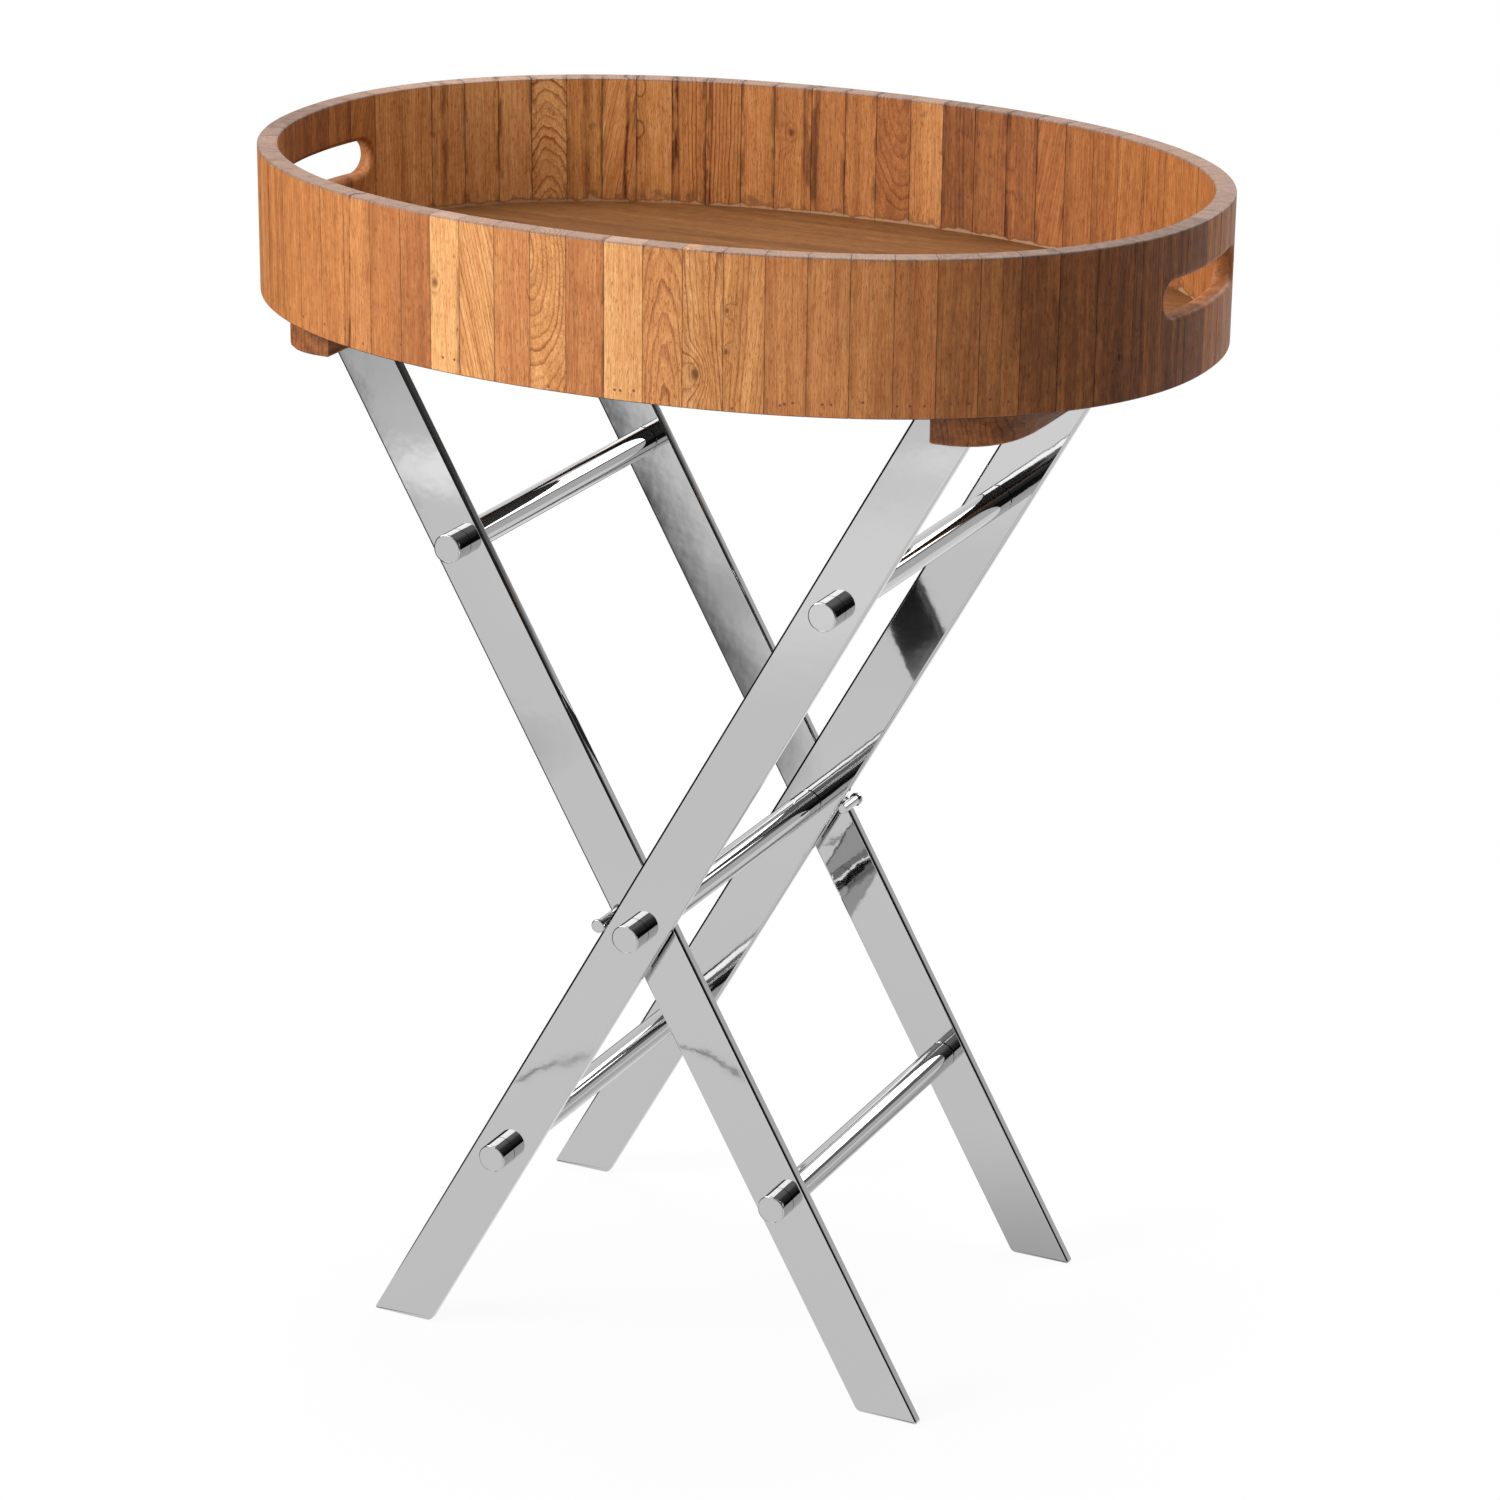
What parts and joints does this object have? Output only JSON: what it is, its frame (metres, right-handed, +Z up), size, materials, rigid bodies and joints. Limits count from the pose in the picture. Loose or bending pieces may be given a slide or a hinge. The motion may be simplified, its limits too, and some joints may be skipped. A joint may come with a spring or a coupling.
{
  "type": "tray table",
  "caption": "Oval coopered wood tray with a hand slot at each end, resting on a folding crossed stand of mirror-finish flat bars.",
  "frame": {"origin": "on the floor under the middle of the tray, at the stand's centre", "axes": "+Z up; X along the tray's long axis, +X towards the end that frame A reaches; -Y is the front, where frame A's bar is the outer one"},
  "size_m": [0.672, 0.479, 0.83],
  "materials": {
    "stand_metal": "mirror plated",
    "stave_wood_golden": "oiled, low sheen",
    "stave_wood_brown": "oiled, low sheen",
    "stave_wood_pale": "oiled, low sheen",
    "stave_wood_dark": "oiled, low sheen",
    "stave_wood_tan": "oiled, low sheen",
    "floor_wood": "oiled, low sheen",
    "batten_wood": "oiled, low sheen",
    "screw_steel": "zinc plated"
  },
  "bodies": {
    "frame_a": {"frame_a_front_bar": "stand_metal", "frame_a_rear_bar": "stand_metal", "frame_a_top_rod": "stand_metal", "frame_a_top_front_cap": "stand_metal", "frame_a_top_rear_cap": "stand_metal", "frame_a_low_rod": "stand_metal", "frame_a_low_front_cap": "stand_metal", "frame_a_low_rear_cap": "stand_metal", "pivot_rod": "stand_metal", "pivot_front_cap": "stand_metal", "pivot_rear_cap": "stand_metal", "pivot_front_washer": "stand_metal", "pivot_rear_washer": "stand_metal", "rear_stop_pin": "stand_metal"},
    "frame_b": {"frame_b_front_bar": "stand_metal", "frame_b_rear_bar": "stand_metal", "frame_b_top_rod": "stand_metal", "frame_b_top_front_cap": "stand_metal", "frame_b_top_rear_cap": "stand_metal", "frame_b_low_rod": "stand_metal", "frame_b_low_front_cap": "stand_metal", "frame_b_low_rear_cap": "stand_metal", "front_stop_pin": "stand_metal"},
    "tray": {"right_handle_staves": "stave_wood_golden", "left_handle_staves": "stave_wood_dark", "stave_pair_01": "stave_wood_golden", "stave_pair_02": "stave_wood_dark", "stave_pair_03": "stave_wood_brown", "stave_pair_04": "stave_wood_tan", "stave_pair_05": "stave_wood_pale", "stave_pair_06": "stave_wood_golden", "stave_pair_07": "stave_wood_dark", "stave_pair_08": "stave_wood_brown", "stave_pair_09": "stave_wood_tan", "stave_pair_10": "stave_wood_pale", "stave_pair_11": "stave_wood_golden", "stave_pair_12": "stave_wood_dark", "stave_pair_13": "stave_wood_brown", "stave_pair_14": "stave_wood_tan", "stave_pair_15": "stave_wood_pale", "stave_pair_16": "stave_wood_golden", "stave_pair_17": "stave_wood_dark", "stave_pair_18": "stave_wood_brown", "stave_pair_19": "stave_wood_tan", "stave_pair_20": "stave_wood_pale", "stave_pair_21": "stave_wood_golden", "stave_pair_22": "stave_wood_dark", "stave_pair_23": "stave_wood_brown", "stave_pair_24": "stave_wood_tan", "stave_pair_25": "stave_wood_pale", "stave_pair_26": "stave_wood_golden", "stave_pair_27": "stave_wood_dark", "stave_pair_28": "stave_wood_brown", "tray_floor": "floor_wood", "right_batten": "batten_wood", "left_batten": "batten_wood", "right_batten_front_screw": "screw_steel", "right_batten_rear_screw": "screw_steel", "left_batten_front_screw": "screw_steel", "left_batten_rear_screw": "screw_steel"}
  },
  "joints": [
    {"name": "stand_fold", "type": "hinge", "parent": "frame_a", "child": "frame_b", "pos_m": [0, 0, 0.33], "axis": [0, 1, 0], "range_deg": [0, 50.3]},
    {"name": "tray_lift", "type": "slide", "parent": "frame_a", "child": "tray", "axis": [0, 0, 1], "range_m": [0, 0.27]}
  ],
  "couplings": [
    {"joint": "tray_lift", "follows": "stand_fold", "m_per_rad": 0.3}
  ]
}
